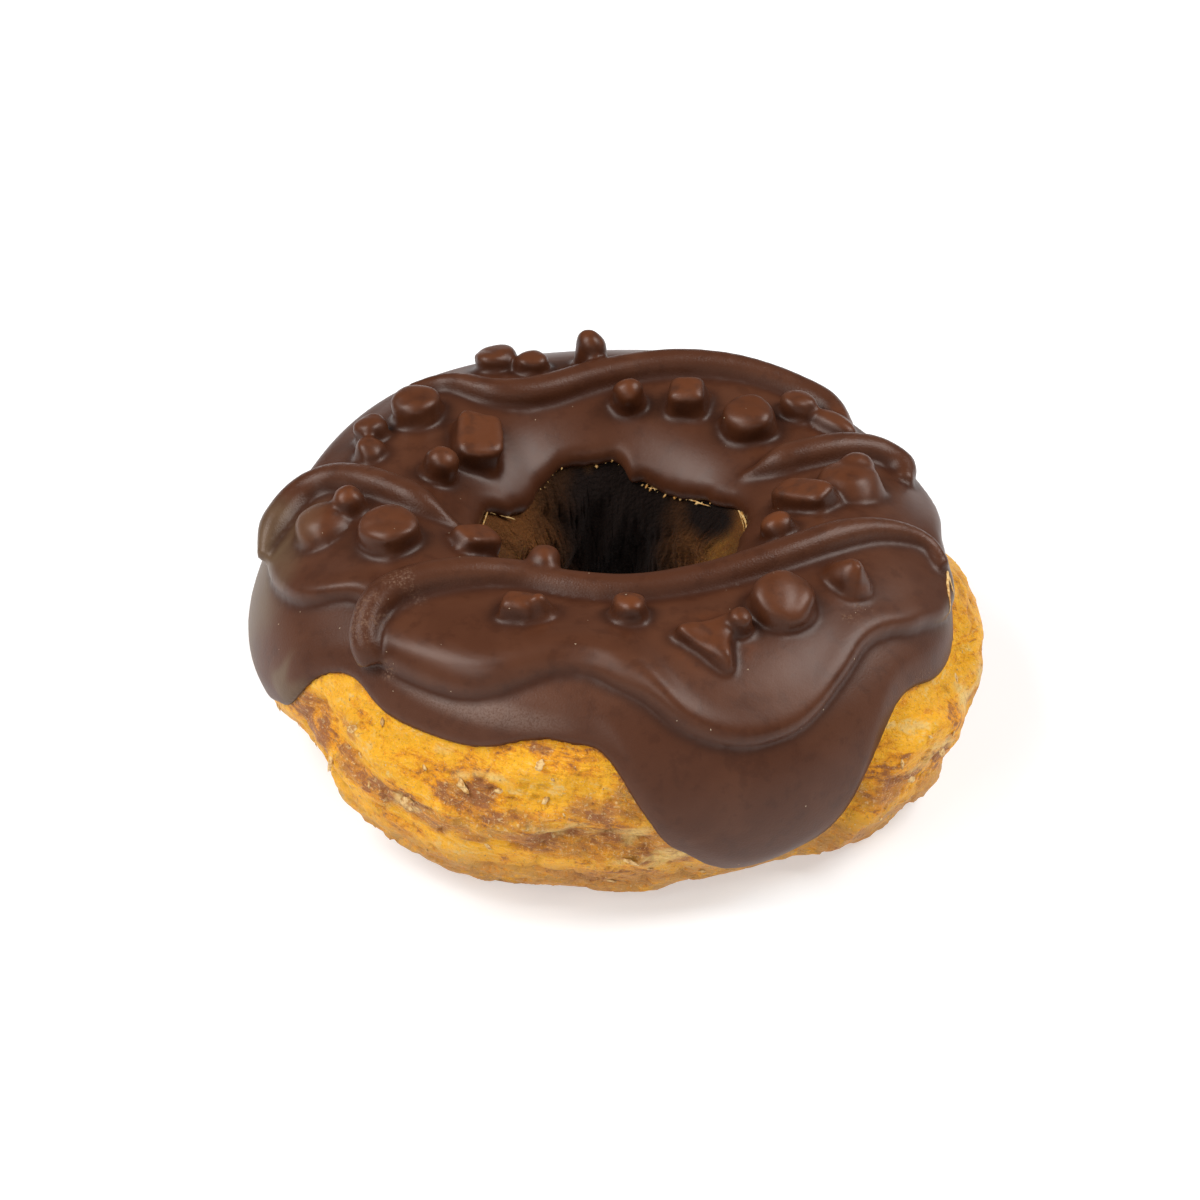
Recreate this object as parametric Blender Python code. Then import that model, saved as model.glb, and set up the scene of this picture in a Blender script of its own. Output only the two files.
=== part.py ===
"""A ring doughnut under a moulded coat of chocolate frosting.

The doughnut is one solid ring of rough dough with a flat underside. The frosting is one shell cast over
its top: a thin layer that ends in drips, a thicker layer with a wavy step above it, four drizzled ridges
and the nut-like lumps, all of one mass. Lengths are in metres, +Z is up, and the origin is the middle of
the underside. A bearing is an angle round the ring from +X towards +Y, and a slope is an angle round the
ring's section: 0 is the outer side, 90 the crown and 180 the wall of the hole.
"""
import math

import bmesh
import bpy
from mathutils import Matrix, Vector, noise

MM = 0.001

# The ring's section, measured on the dough under the frosting
RING_RADIUS = 27.5 * MM        # centre line of the ring, 55 mm across
HALF_WIDTH = 16.0 * MM         # middle of the section to its outer side, and to the hole's wall
CROWN_RISE = 14.8 * MM         # widest level of the ring up to its crown
BELLY_DROP = 16.4 * MM         # widest level down to the bottom of the full curve
WIDEST_LEVEL = 14.6 * MM       # height of the widest level above the flat underside

# How far the crown departs from a round ring: bearing, half width of the swing, change outwards
CROWN_SWINGS = ((28.0, 34.0, -2.8 * MM), (95.0, 38.0, -1.3 * MM), (160.0, 24.0, -0.9 * MM),
                (197.0, 14.0, 0.5 * MM))

# Swellings of the bare dough beyond that section, in the same form
SWELLINGS = ((342.0, 32.0, 1.9 * MM), (316.0, 18.0, 1.5 * MM), (243.0, 16.0, 1.2 * MM), (100.0, 60.0, 1.4 * MM),
              (206.0, 10.0, -1.7 * MM))
CRAG_HEIGHT = 1.4 * MM
CRAG_LENGTH = 9.0 * MM
CRAG_WIDTH = 5.0 * MM
LAYER_SLANT = 7.0 * MM         # how far the dough's layers climb from one side of the ring to the other

# The frosting's two layers and the clearance under them
SEAT_GAP = 0.3 * MM
THIN_LAYER = 1.5 * MM          # outside of the thin layer above the dough
THICK_LAYER = 2.8 * MM         # outside of the thick layer above the dough
HOLE_LIP = 1.7 * MM            # outside of the frosting above the dough, at the hole's edge
LIP_ROUND = 4.0                # slope angle taken by a rounded edge
STEP_ROUND = 5.0               # slope angle taken by the step between the layers
ROLL_ROUND = 6.5               # how much wider the step is, and how much higher its rim, where it is a fat roll
ROLL_HEIGHT = 0.9 * MM
ROLLS = ((243.0, 20.0, 1.0), (273.0, 9.0, 0.7))

# Edges of the frosting: a level slope, then bearing, half width and height of each swing away from it
DRIP_LEVEL = 30.0
DRIPS = (
    (294.0, 19.2, -67.0), (196.0, 16.0, -42.0), (335.0, 10.0, -15.0), (261.0, 9.5, 11.0), (219.0, 8.0, 9.0),
    (20.0, 14.0, -20.0), (60.0, 16.0, -30.0), (98.0, 12.0, -14.0), (136.0, 18.0, -32.0), (170.0, 9.0, -14.0),
    (209.5, 3.5, -6.0),
)
STEP_LEVEL = 48.0
STEP_SWINGS = (
    (294.5, 14.5, -16.0), (341.0, 10.0, -15.0), (262.5, 12.0, 19.0), (214.0, 7.0, 15.0), (188.0, 16.0, -12.0),
    (15.0, 18.0, -12.0), (55.0, 16.0, -4.0), (95.0, 16.0, -10.0), (140.0, 16.0, -2.0),
)
HOLE_LEVEL = 134.0
HOLE_SWINGS = ((143.0, 13.0, 14.0), (104.0, 16.0, 2.5), (59.0, 27.0, 14.0), (200.0, 20.0, -3.0), (285.0, 40.0, 7.0))

# Drizzled ridges: the bearing and slope of a few points along each, and how thin its two ends are
RIDGE_RADIUS = 2.1 * MM
RIDGE_RAISE = 0.55 * MM        # centre of a ridge above the thick layer
DRIZZLES = {
    "back": ((138.0, 67.0), (131.0, 75.0), (125.0, 95.0), (112.0, 100.5), (94.0, 94.5), (74.0, 82.0),
             (57.0, 68.0), (44.0, 59.0), (35.0, 62.5), (29.0, 69.0)),
    "left": ((200.0, 117.0), (189.0, 101.5), (182.0, 91.5), (177.0, 80.0), (174.0, 68.0), (175.5, 56.0),
             (182.0, 46.0), (189.0, 39.0)),
    "right": ((28.0, 124.0), (24.5, 113.0), (23.5, 95.0), (23.0, 76.0), (22.0, 61.0), (18.0, 53.0),
              (12.0, 57.0)),
    "front": ((346.0, 46.0), (349.5, 54.0), (348.5, 65.0), (343.5, 79.0), (334.0, 91.0), (317.0, 102.5),
              (298.0, 109.5), (278.0, 112.0), (258.0, 113.5), (240.0, 111.5), (229.0, 100.0), (221.5, 84.0),
              (219.0, 70.0), (221.0, 58.0), (225.0, 48.0)),
}
TAPER = {"back": (0.6, 0.5), "left": (0.2, 0.5), "right": (0.2, 0.5), "front": (0.5, 0.9)}

# Lumps of the coating: kind, bearing, slope, length and width in millimetres, height above it, turn
LUMPS = (
    ("dome", 116.5, 71.0, 5.6, 4.8, 2.4, 20.0), ("dome", 110.0, 82.0, 4.2, 3.8, 2.2, 0.0),
    ("peg", 95.5, 83.0, 3.7, 3.7, 4.6, 0.0), ("dome", 145.0, 83.0, 6.3, 6.1, 3.3, 0.0),
    ("dome", 156.5, 74.0, 4.4, 3.8, 2.7, 0.0), ("mound", 164.0, 79.0, 4.4, 3.8, 2.0, 0.0),
    ("peg", 167.5, 108.0, 3.9, 3.9, 3.8, 0.0), ("chunk", 145.0, 112.5, 7.4, 8.0, 3.0, 14.0),
    ("peg", 84.8, 110.0, 3.6, 3.6, 4.0, 0.0), ("chunk", 66.0, 105.0, 5.2, 5.4, 3.2, 14.0),
    ("dome", 44.8, 103.0, 6.7, 6.5, 3.4, 0.0), ("dome", 41.5, 78.5, 4.6, 4.0, 2.6, 20.0),
    ("mound", 33.5, 71.5, 7.2, 3.6, 2.0, 20.0), ("chunk", 357.0, 105.0, 4.4, 7.8, 2.4, -34.0),
    ("dome", 3.5, 87.0, 6.4, 7.6, 2.2, 0.0), ("dome", 10.5, 83.0, 4.4, 5.2, 3.0, 20.0),
    ("peg", 338.5, 110.5, 3.9, 3.7, 2.4, 0.0), ("shard", 326.0, 73.5, 7.4, 6.6, 3.1, 50.0),
    ("dome", 308.5, 79.5, 7.4, 7.0, 3.0, 0.0), ("wedge", 290.5, 75.5, 9.2, 9.2, 2.0, 61.0),
    ("dome", 296.6, 77.5, 2.8, 2.8, 2.8, 0.0), ("peg", 273.8, 94.5, 3.8, 3.8, 2.6, 0.0),
    ("chunk", 245.5, 87.5, 3.0, 2.8, 1.8, 10.0), ("shard", 252.0, 91.0, 4.4, 3.8, 2.6, 40.0),
    ("peg", 243.0, 117.0, 3.9, 3.9, 4.4, 0.0), ("chunk", 210.0, 116.0, 4.4, 6.6, 2.2, 8.0),
    ("dome", 203.0, 86.5, 7.2, 6.8, 3.1, 0.0), ("peg", 188.5, 77.0, 3.6, 3.4, 3.2, 0.0),
    ("mound", 191.0, 65.0, 6.8, 6.6, 2.1, 0.0),
)
LUMP_SUNK = 0.35               # depth of a lump's foot in the frosting, as a share of its height
BELTS = {"peg": 0.5, "dome": 0.35, "mound": -0.1}
CHUNK_TOP = 0.84               # width of a chunk's top, as a share of its foot

# Mesh densities
COLUMNS = 80
DOUGH_ROWS = 24
ROW_CROWDING = 25.0            # how far rows are drawn towards the bare side, as a slope angle
CROWDED_AT = 0.22              # where that is, as a share of the way round the section
THIN_ROWS = 5
THICK_ROWS = 11
BURIED_ROWS = 6
RIDGE_SPACING = 2.6 * MM
CURVE_STEPS = 12
BURIED = -0.6 * MM             # depth of the frosting's blank below the dough's surface, before it is cut


def swings(bearing, level, parts):
    """A level with a smooth flat-topped swing away from it at each given bearing."""
    total = level
    for centre, half_width, height in parts:
        away = (bearing - centre + 180.0) % 360.0 - 180.0
        total += height * math.exp(-abs(away / half_width) ** 2.4)
    return total


def ease(value):
    """0 below 0, 1 above 1, and a smooth rise between."""
    value = min(max(value, 0.0), 1.0)
    return value * value * (3.0 - 2.0 * value)


def skin(bearing, slope, lift):
    """The point that stands lift above the dough's section, square to it."""
    turn, angle = math.radians(bearing), math.radians(slope)
    rise = CROWN_RISE if math.sin(angle) > 0.0 else BELLY_DROP
    crown = ease((slope + 35.0) / 60.0) * ease((150.0 - slope) / 60.0)
    lift = lift + crown * swings(bearing, 0.0, CROWN_SWINGS)
    out = Vector((math.cos(angle) / HALF_WIDTH, math.sin(angle) / rise)).normalized()
    radius = RING_RADIUS + HALF_WIDTH * math.cos(angle) + lift * out.x
    height = WIDEST_LEVEL + rise * math.sin(angle) + lift * out.y
    return Vector((radius * math.cos(turn), radius * math.sin(turn), height))


def relief(bearing, slope):
    """Swellings and crags of the bare dough, fading out under the frosting's edge."""
    bare = ease((swings(bearing, DRIP_LEVEL, DRIPS) - 2.0 - slope) / 14.0) if slope < 100.0 else 0.0
    if slope > 100.0:
        bare = ease((slope - swings(bearing, HOLE_LEVEL, HOLE_SWINGS) - 4.0) / 16.0)
    turn = math.radians(bearing)
    across = math.radians(slope) * HALF_WIDTH + LAYER_SLANT * math.cos(turn)
    spot = Vector((math.cos(turn), math.sin(turn), 0.0)) * (RING_RADIUS / CRAG_LENGTH)
    crags = noise.noise(spot + Vector((0.0, 0.0, across / CRAG_WIDTH)))
    crags += 0.5 * noise.noise(spot * 2.3 + Vector((7.0, 0.0, across / CRAG_WIDTH)))
    swell = swings(bearing, 0.0, SWELLINGS) * ease((80.0 - abs(slope)) / 35.0)
    return bare * (swell + CRAG_HEIGHT * crags)


def material(name, colour, roughness):
    """A plain matt or satin finish."""
    finish = bpy.data.materials.new(name)
    finish.use_nodes = True
    shader = finish.node_tree.nodes["Principled BSDF"]
    shader.inputs["Base Color"].default_value = (*colour, 1.0)
    shader.inputs["Roughness"].default_value = roughness
    shader.inputs["Metallic"].default_value = 0.0
    return finish


def torus(name, columns, rows, place):
    """A torus primitive whose vertex at each column and row is moved to place(column, row)."""
    bpy.ops.mesh.primitive_torus_add(major_segments=columns, minor_segments=rows)
    ring = bpy.context.active_object
    ring.name = name
    ring.data.name = name
    for index, vertex in enumerate(ring.data.vertices):
        vertex.co = place(*divmod(index, rows))
    mesh = bmesh.new()
    mesh.from_mesh(ring.data)
    bmesh.ops.triangulate(mesh, faces=mesh.faces)
    bmesh.ops.recalc_face_normals(mesh, faces=mesh.faces)
    mesh.to_mesh(ring.data)
    mesh.free()
    ring.data.shade_smooth()
    return ring


def dough_slope(row):
    """Slope of a row of the dough, with more rows on the bare outer side than under the frosting."""
    share = row / DOUGH_ROWS
    drawn = math.sin(math.tau * (share - CROWDED_AT + 0.5)) - math.sin(math.tau * (0.5 - CROWDED_AT))
    return -90.0 + 360.0 * share + ROW_CROWDING * drawn


def dough_ring(name, gap):
    """The doughnut, or with a gap the room that it takes under the frosting."""
    def place(column, row):
        bearing = 360.0 * column / COLUMNS
        slope = dough_slope(row)
        point = skin(bearing, slope, relief(bearing, slope) + gap)
        point.z = max(point.z, -gap)
        return point
    return torus(name, COLUMNS, DOUGH_ROWS, place)


def layer_lift(bearing, slope):
    """Height of the frosting's outside above the dough."""
    step = swings(bearing, STEP_LEVEL, STEP_SWINGS)
    hole = swings(bearing, HOLE_LEVEL, HOLE_SWINGS)
    roll = swings(bearing, 0.0, ROLLS)
    width = STEP_ROUND + ROLL_ROUND * roll
    rise = ease((slope - step) / width)
    thinning = ease((slope - hole + 34.0) / 34.0)
    crest = ROLL_HEIGHT * roll * math.exp(-((slope - step - 1.1 * width) / width) ** 2)
    thick = THICK_LAYER + crest + (HOLE_LIP - THICK_LAYER) * thinning
    return THIN_LAYER + (thick - THIN_LAYER) * rise


def frosting_profile(bearing):
    """Slopes and lifts round the frosting's section, up the outside and back through the dough."""
    drip = swings(bearing, DRIP_LEVEL, DRIPS)
    step = swings(bearing, STEP_LEVEL, STEP_SWINGS)
    hole = swings(bearing, HOLE_LEVEL, HOLE_SWINGS)
    low, high = drip + LIP_ROUND, hole - LIP_ROUND
    slopes = [low + (step - low) * n / THIN_ROWS for n in range(THIN_ROWS + 1)]
    crest = step + STEP_ROUND + ROLL_ROUND * swings(bearing, 0.0, ROLLS)
    slopes.append(0.5 * (step + crest))
    slopes += [crest + (high - crest) * n / THICK_ROWS for n in range(THICK_ROWS + 1)]
    outside = [(slope, layer_lift(bearing, slope)) for slope in slopes]
    rim = [(drip, BURIED), (drip, 0.62 * THIN_LAYER)] + outside + [(hole, 0.62 * HOLE_LIP), (hole, BURIED)]
    buried = [(hole + (drip - hole) * n / BURIED_ROWS, BURIED) for n in range(1, BURIED_ROWS)]
    return rim + buried


def frosting_blank():
    """The two layers as a closed band, not yet cut to the dough."""
    sections = [frosting_profile(360.0 * column / COLUMNS) for column in range(COLUMNS)]

    def place(column, row):
        slope, lift = sections[column][row]
        return skin(360.0 * column / COLUMNS, slope, lift)
    return torus("frosting", COLUMNS, len(sections[0]), place)


def route(points):
    """Smooth points at even steps through a few bearings and slopes."""
    places = [Vector((bearing, slope, 0.0)) for bearing, slope in points]
    ends = [places[0] * 2.0 - places[1]] + places + [places[-1] * 2.0 - places[-2]]
    dense = []
    for a, b, c, d in zip(ends, ends[1:], ends[2:], ends[3:]):
        for n in range(CURVE_STEPS):
            t = n / CURVE_STEPS
            dense.append(0.5 * (2.0 * b + (c - a) * t + (2.0 * a - 5.0 * b + 4.0 * c - d) * t * t
                                + (3.0 * b - a - 3.0 * c + d) * t ** 3))
    dense.append(places[-1])
    kept = [dense[0]]
    for spot in dense[1:]:
        if (skin(spot.x, spot.y, 0.0) - skin(kept[-1].x, kept[-1].y, 0.0)).length >= RIDGE_SPACING:
            kept.append(spot)
    return kept


def drizzle(name, points):
    """A poured ridge: a round tube half sunk in the thick layer, thin at its ends."""
    spots = route(points)
    curve = bpy.data.curves.new(name, "CURVE")
    curve.dimensions = "3D"
    curve.bevel_depth = RIDGE_RADIUS
    curve.bevel_resolution = 2
    curve.use_fill_caps = True
    line = curve.splines.new("POLY")
    line.points.add(len(spots) - 1)
    start, end = TAPER[name]
    for index, (point, spot) in enumerate(zip(line.points, spots)):
        share = index / (len(spots) - 1)
        size = (start + (1.0 - start) * ease(share * 4.0)) * (end + (1.0 - end) * ease((1.0 - share) * 6.0))
        lift = layer_lift(spot.x, spot.y) + RIDGE_RAISE * size
        point.co = (*skin(spot.x, spot.y, lift), 1.0)
        point.radius = size
    guide = bpy.data.objects.new(name, curve)
    bpy.context.scene.collection.objects.link(guide)
    evaluated = guide.evaluated_get(bpy.context.evaluated_depsgraph_get())
    mesh = bpy.data.meshes.new_from_object(evaluated)
    solid = bpy.data.objects.new(name + "_drizzle", mesh)
    solid.matrix_world = guide.matrix_world
    bpy.data.objects.remove(guide)
    bpy.data.curves.remove(curve)
    welded = bmesh.new()
    welded.from_mesh(mesh)
    bmesh.ops.remove_doubles(welded, verts=welded.verts, dist=0.00001)
    bmesh.ops.recalc_face_normals(welded, faces=welded.faces)
    welded.to_mesh(mesh)
    welded.free()
    return solid


def lump_shape(kind):
    """A lump of unit length, width and height above z = 0, with its foot below."""
    shape = bmesh.new()
    if kind in BELTS:
        bmesh.ops.create_uvsphere(shape, u_segments=10, v_segments=7, radius=0.5)
        belt = BELTS[kind]
        for vertex in shape.verts:
            reach = (1.0 - belt) if vertex.co.z > 0.0 else (belt + LUMP_SUNK)
            vertex.co.z = belt + 2.0 * vertex.co.z * reach
        return shape
    if kind == "shard":
        bmesh.ops.create_cone(shape, cap_ends=True, segments=5, radius1=0.56, radius2=0.18, depth=1.0)
    elif kind == "wedge":
        bmesh.ops.create_cone(shape, cap_ends=True, segments=3, radius1=0.60, radius2=0.50, depth=1.0)
    else:
        bmesh.ops.create_cube(shape, size=1.0)
        top = [vertex for vertex in shape.verts if vertex.co.z > 0.0]
        bmesh.ops.scale(shape, vec=(CHUNK_TOP, CHUNK_TOP, 1.0), verts=top)
    bmesh.ops.bevel(shape, geom=shape.edges[:], offset=0.11, affect="EDGES", segments=1, profile=0.5, material=-1)
    for vertex in shape.verts:
        vertex.co.z = (vertex.co.z + 0.5) * (1.0 + LUMP_SUNK) - LUMP_SUNK
    return shape


def lump(index, kind, bearing, slope, length, width, height, turn):
    """One moulded lump, its foot sunk in the frosting and its axis square to the surface."""
    shape = lump_shape(kind)
    base = skin(bearing, slope, layer_lift(bearing, slope))
    up = (skin(bearing, slope, 10.0 * MM) - skin(bearing, slope, 0.0)).normalized()
    side = Vector((-math.sin(math.radians(bearing)), math.cos(math.radians(bearing)), 0.0))
    frame = Matrix((side, up.cross(side), up)).transposed().to_4x4()
    place = Matrix.Translation(base) @ frame @ Matrix.Rotation(math.radians(turn), 4, "Z")
    bmesh.ops.scale(shape, vec=(length * MM, width * MM, height * MM), verts=shape.verts)
    bmesh.ops.transform(shape, matrix=place, verts=shape.verts)
    mesh = bpy.data.meshes.new(f"lump_{index}")
    shape.to_mesh(mesh)
    shape.free()
    return bpy.data.objects.new(f"lump_{index}", mesh)


def fuse(target, extras, cutter):
    """Join the extras to the target in one union, and cut the seat out of it."""
    toppings = bpy.data.collections.new("toppings")
    bpy.context.scene.collection.children.link(toppings)
    for extra in extras:
        toppings.objects.link(extra)
    bpy.context.view_layer.objects.active = target
    union = target.modifiers.new("toppings", "BOOLEAN")
    union.operation = "UNION"
    union.operand_type = "COLLECTION"
    union.collection = toppings
    bpy.ops.object.modifier_apply(modifier=union.name)
    for extra in extras:
        bpy.data.objects.remove(extra)
    bpy.data.collections.remove(toppings)
    seat_cut = target.modifiers.new("seat", "BOOLEAN")
    seat_cut.operation = "DIFFERENCE"
    seat_cut.object = cutter
    bpy.ops.object.modifier_apply(modifier=seat_cut.name)


for old in list(bpy.data.objects):
    bpy.data.objects.remove(old)

doughnut = bpy.data.collections.new("frosted_doughnut")
cutters = bpy.data.collections.new("cutters")
for group in (doughnut, cutters):
    bpy.context.scene.collection.children.link(group)

dough = dough_ring("dough_ring", 0.0)
dough.data.materials.append(material("golden_dough", (0.55, 0.26, 0.055), 0.75))

frosting = frosting_blank()
frosting.data.materials.append(material("chocolate", (0.065, 0.028, 0.02), 0.38))
room = dough_ring("frosting_seat", SEAT_GAP)
room.hide_render = True
room.display_type = "WIRE"
extras = [drizzle(name, points) for name, points in DRIZZLES.items()]
extras += [lump(index, *entry) for index, entry in enumerate(LUMPS)]
fuse(frosting, extras, room)

for piece, group in ((dough, doughnut), (frosting, doughnut), (room, cutters)):
    for old_group in list(piece.users_collection):
        old_group.objects.unlink(piece)
    group.objects.link(piece)
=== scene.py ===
"""A ring doughnut of coarse golden dough under a moulded coat of chocolate frosting, on a pale table.

The dough is one craggy ring. The frosting is one casting with drizzled ridges and nut-like lumps, and small
flakes, fibres and crumbs lie on both. Lengths are in metres and +Z is up. A bearing is an angle in degrees
round the ring from +X towards +Y. A slope is an angle round the ring's section: 0 is the outer side, 90 the
crown and 180 the wall of the hole.
"""
import math
import random

import bmesh
import bpy
from mathutils import Matrix, Vector, kdtree, noise


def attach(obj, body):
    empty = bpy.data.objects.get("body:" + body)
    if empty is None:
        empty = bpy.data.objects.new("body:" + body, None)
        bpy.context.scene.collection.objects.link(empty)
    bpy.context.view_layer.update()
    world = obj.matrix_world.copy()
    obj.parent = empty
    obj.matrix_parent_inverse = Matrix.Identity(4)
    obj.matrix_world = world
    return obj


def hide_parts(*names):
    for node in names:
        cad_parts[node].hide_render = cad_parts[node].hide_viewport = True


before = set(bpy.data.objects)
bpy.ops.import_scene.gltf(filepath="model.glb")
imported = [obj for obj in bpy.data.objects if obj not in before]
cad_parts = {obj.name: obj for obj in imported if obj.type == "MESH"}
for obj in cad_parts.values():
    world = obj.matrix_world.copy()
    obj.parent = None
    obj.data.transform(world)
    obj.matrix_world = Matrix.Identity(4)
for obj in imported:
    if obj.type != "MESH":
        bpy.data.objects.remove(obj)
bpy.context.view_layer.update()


# The ring of dough
# Coarse, moist dough pressed in a ring mould and baked golden, with a flat underside. Layers of it lie along
# the ring and show as ledges, creases and patches from straw to reddish brown. Painted shade darkens its
# hollows and the wall of its hole.
MM = 0.001
RING_RADIUS = 27.5 * MM
HALF_WIDTH = 16.0 * MM
CROWN_RISE = 14.8 * MM
BELLY_DROP = 16.4 * MM
WIDEST_LEVEL = 14.6 * MM
CROWN_SWINGS = ((28.0, 34.0, -2.8 * MM), (95.0, 38.0, -1.3 * MM), (160.0, 24.0, -0.9 * MM),
                (197.0, 14.0, 0.5 * MM))
SWELLINGS = ((342.0, 32.0, 1.9 * MM), (316.0, 18.0, 1.5 * MM), (243.0, 16.0, 1.2 * MM),
             (100.0, 60.0, 1.4 * MM), (206.0, 10.0, -1.7 * MM))
CRAG_HEIGHT = 1.4 * MM
CRAG_LENGTH = 9.0 * MM
CRAG_WIDTH = 5.0 * MM
LAYER_SLANT = 7.0 * MM         # how far the dough's layers climb from one side of the ring to the other
LEDGE_HEIGHT = 0.42 * MM
CREASE_DEPTH = 0.46 * MM
GRAIN_HEIGHT = 0.20 * MM

# Edges of the frosting: a level slope, then bearing, half width and height of each swing away from it
DRIP_LEVEL = 30.0
DRIPS = (
    (294.0, 19.2, -67.0), (196.0, 16.0, -42.0), (335.0, 10.0, -15.0), (261.0, 9.5, 11.0), (219.0, 8.0, 9.0),
    (20.0, 14.0, -20.0), (60.0, 16.0, -30.0), (98.0, 12.0, -14.0), (136.0, 18.0, -32.0), (170.0, 9.0, -14.0),
    (268.5, 4.0, 7.0), (277.5, 2.5, -4.0), (306.0, 4.0, -6.5), (209.5, 3.5, -6.0),
)
HOLE_LEVEL = 134.0
HOLE_SWINGS = (
    (143.0, 13.0, 14.0), (104.0, 16.0, 2.5), (59.0, 27.0, 14.0), (200.0, 20.0, -3.0), (285.0, 40.0, 7.0),
)

# Patches: bearing, slope, and half their width and height in degrees
# Patches of the hole's wall painted near black, as shade.
BLACK_SHADE_PATCHES = ((88.0, 165.0, 46.0, 60.0), (34.0, 148.0, 24.0, 14.0), (270.0, 165.0, 90.0, 60.0))
# Where the wall of the hole is lit, it gets a little less of its painted shade.
LIT_HOLE_PATCHES = ((4.0, 160.0, 15.0, 20.0),)
RUSSET_PATCHES = (
    (214.0, 4.0, 3.5, 14.0), (224.5, 16.5, 2.5, 4.0), (227.5, -1.0, 4.5, 5.0), (233.0, -6.0, 4.0, 4.0),
    (240.0, -4.0, 4.5, 5.0), (247.0, 8.5, 4.0, 4.5), (256.0, -1.0, 9.0, 8.0), (246.0, -7.0, 5.0, 4.0),
    (269.0, 11.0, 5.5, 6.5), (272.0, 18.0, 3.5, 4.0), (269.0, -6.0, 9.0, 8.0), (277.0, -14.0, 7.0, 6.0),
    (259.0, 35.0, 2.0, 1.5), (316.0, -10.0, 8.0, 5.0), (345.0, -4.0, 9.0, 6.0), (40.0, 2.0, 16.0, 7.0),
    (95.0, -6.0, 14.0, 8.0), (150.0, 4.0, 14.0, 6.0),
)
GOLDEN_PATCHES = (
    (207.5, 23.0, 3.0, 4.0), (222.0, 28.0, 5.0, 4.5), (234.0, 12.5, 4.5, 6.0), (238.0, 31.0, 6.0, 7.0),
    (258.5, 20.0, 8.0, 6.5), (266.0, 21.0, 3.5, 4.0), (247.0, -17.0, 6.5, 6.0), (221.0, -22.0, 6.0, 6.0),
    (321.0, 8.0, 5.0, 7.0), (334.0, 14.0, 7.0, 6.0), (10.0, -8.0, 14.0, 8.0), (75.0, 10.0, 12.0, 6.0),
    (125.0, -4.0, 12.0, 8.0), (185.0, 2.0, 12.0, 9.0),
)
STRAW_PATCHES = (
    (211.7, 27.5, 3.0, 4.0), (237.6, -2.8, 1.5, 3.0), (242.0, 29.0, 2.0, 3.0), (249.5, 21.5, 2.5, 2.0),
    (262.0, 1.5, 4.0, 1.6), (274.0, -3.0, 5.0, 2.0), (278.0, -18.0, 5.0, 4.0), (327.0, -5.0, 6.0, 3.0),
    (336.0, 3.0, 5.0, 3.0), (60.0, -14.0, 12.0, 4.0), (160.0, -12.0, 12.0, 4.0),
)

HOLE_SHADE_FROM = 128.0           # the slope above which the hole's wall gets painted shade
DOUGH_COLUMNS = 640
DOUGH_ROWS = 148
ROW_CROWDING = 38.0            # how far rows are drawn towards the bare side, as a slope angle
CROWDED_AT = 0.22              # where that is, as a share of the way round the section
PATCH_STRAY = 6.0              # how far, in degrees, the patches' edges wander
STRAY_LENGTH = 3.0 * MM
NOISE_SEED = 5
noise.seed_set(NOISE_SEED)     # without it, the noise vectors differ from run to run


def swings(bearing, level, parts):
    """A level with a smooth flat-topped swing away from it at each given bearing."""
    total = level
    for centre, half_width, height in parts:
        away = (bearing - centre + 180.0) % 360.0 - 180.0
        if abs(away) < 3.0 * half_width:
            total += height * math.exp(-abs(away / half_width) ** 2.4)
    return total


def ease(value):
    """0 below 0, 1 above 1, and a smooth rise between."""
    value = min(max(value, 0.0), 1.0)
    return value * value * (3.0 - 2.0 * value)


def skin(bearing, slope, lift):
    """The point that stands lift above the dough's section, square to it."""
    turn, angle = math.radians(bearing), math.radians(slope)
    rise = CROWN_RISE if math.sin(angle) > 0.0 else BELLY_DROP
    crown = ease((slope + 35.0) / 60.0) * ease((150.0 - slope) / 60.0)
    lift = lift + crown * swings(bearing, 0.0, CROWN_SWINGS)
    out = Vector((math.cos(angle) / HALF_WIDTH, math.sin(angle) / rise)).normalized()
    radius = RING_RADIUS + HALF_WIDTH * math.cos(angle) + lift * out.x
    height = WIDEST_LEVEL + rise * math.sin(angle) + lift * out.y
    return Vector((radius * math.cos(turn), radius * math.sin(turn), height))


def patched(bearing, slope, patches):
    """1 within the patches of a list, falling to 0 round them."""
    best = 0.0
    for centre, level, half_width, half_height in patches:
        away = ((bearing - centre + 180.0) % 360.0 - 180.0) / half_width
        best = max(best, ease(1.5 - math.hypot(away, (slope - level) / half_height)))
    return best


def grain_place(bearing, slope):
    """A place in the dough's own layers, with two lengths round the ring and the third across the layers."""
    turn = math.radians(bearing)
    across = math.radians(slope) * HALF_WIDTH + LAYER_SLANT * math.cos(turn)
    return Vector((RING_RADIUS * math.cos(turn), RING_RADIUS * math.sin(turn), across))


def bareness(bearing, slope):
    """1 on bare dough, falling to 0 under the frosting's edges."""
    if slope > 100.0:
        return ease((slope - swings(bearing, HOLE_LEVEL, HOLE_SWINGS) - 4.0) / 16.0)
    return ease((swings(bearing, DRIP_LEVEL, DRIPS) - 2.0 - slope) / 14.0)


def relief(bearing, slope):
    """Swellings and crags of the bare dough."""
    place = grain_place(bearing, slope)
    spot = Vector((place.x, place.y, 0.0)) / CRAG_LENGTH
    crags = noise.noise(spot + Vector((0.0, 0.0, place.z / CRAG_WIDTH)))
    crags += 0.5 * noise.noise(spot * 2.3 + Vector((7.0, 0.0, place.z / CRAG_WIDTH)))
    swell = swings(bearing, 0.0, SWELLINGS) * ease((80.0 - abs(slope)) / 35.0)
    return swell + CRAG_HEIGHT * crags


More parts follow.
